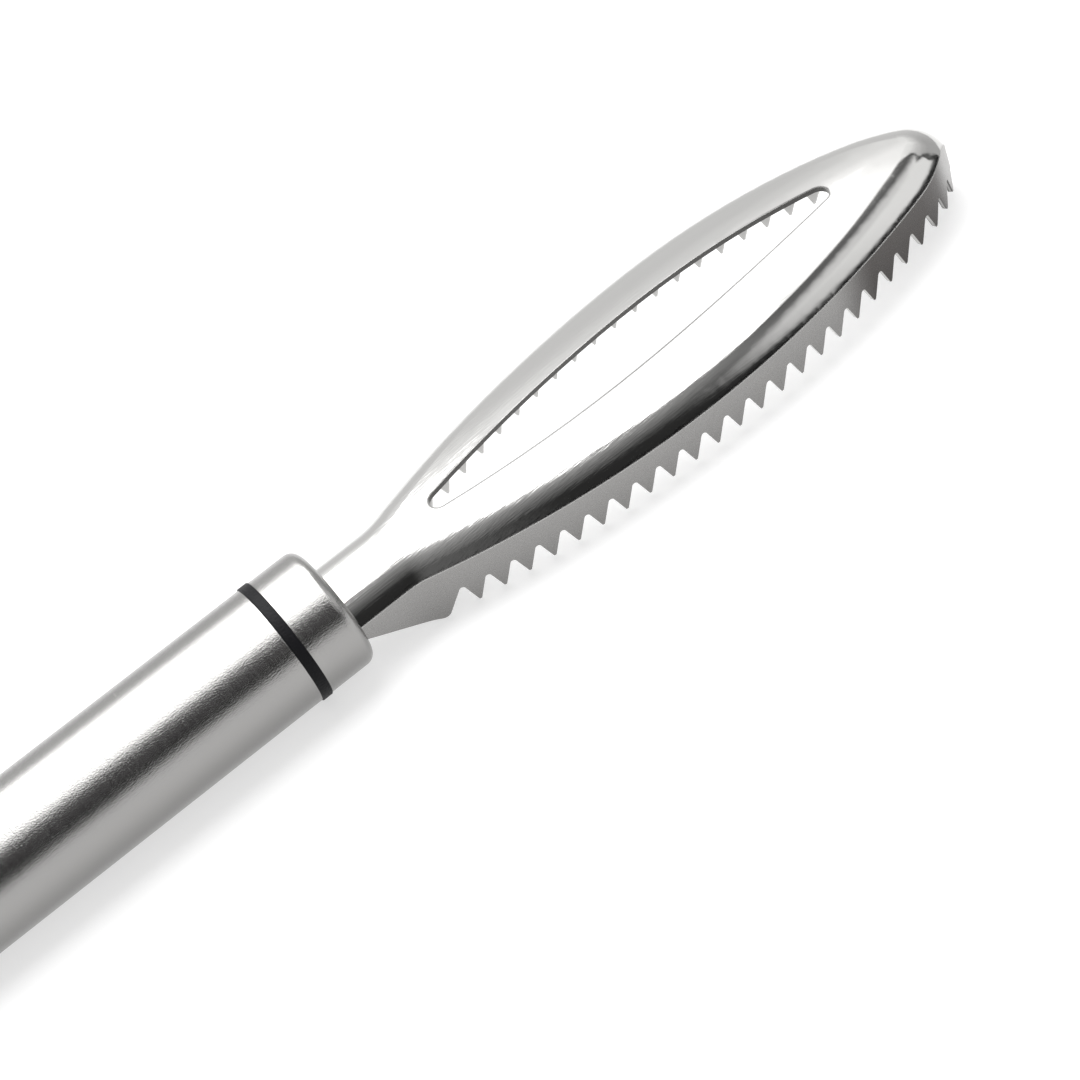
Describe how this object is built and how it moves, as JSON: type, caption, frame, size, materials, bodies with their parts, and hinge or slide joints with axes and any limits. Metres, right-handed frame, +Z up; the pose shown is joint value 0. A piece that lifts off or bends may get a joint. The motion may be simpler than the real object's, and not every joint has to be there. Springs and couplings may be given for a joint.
{
  "type": "fish scaler",
  "caption": "Hand-held fish scaler: an arched leaf-shaped metal head with a long slot and saw teeth round its rim, on a round hollow handle.",
  "frame": {"origin": "middle of the bottom of the bounding box, on the surface the scaler lies on", "axes": "+X along the handle's axis towards the head's tip, +Z up, teeth down, rolled to the way it lies"},
  "size_m": [0.2543, 0.0371, 0.0224],
  "materials": {
    "polished_steel": "polished",
    "satin_steel": "satin",
    "black_plastic": "matte"
  },
  "bodies": {
    "root": {"scaler_head": "polished_steel", "front_collar": "satin_steel", "handle_plug": "black_plastic", "handle_tube": "satin_steel"}
  },
  "joints": []
}
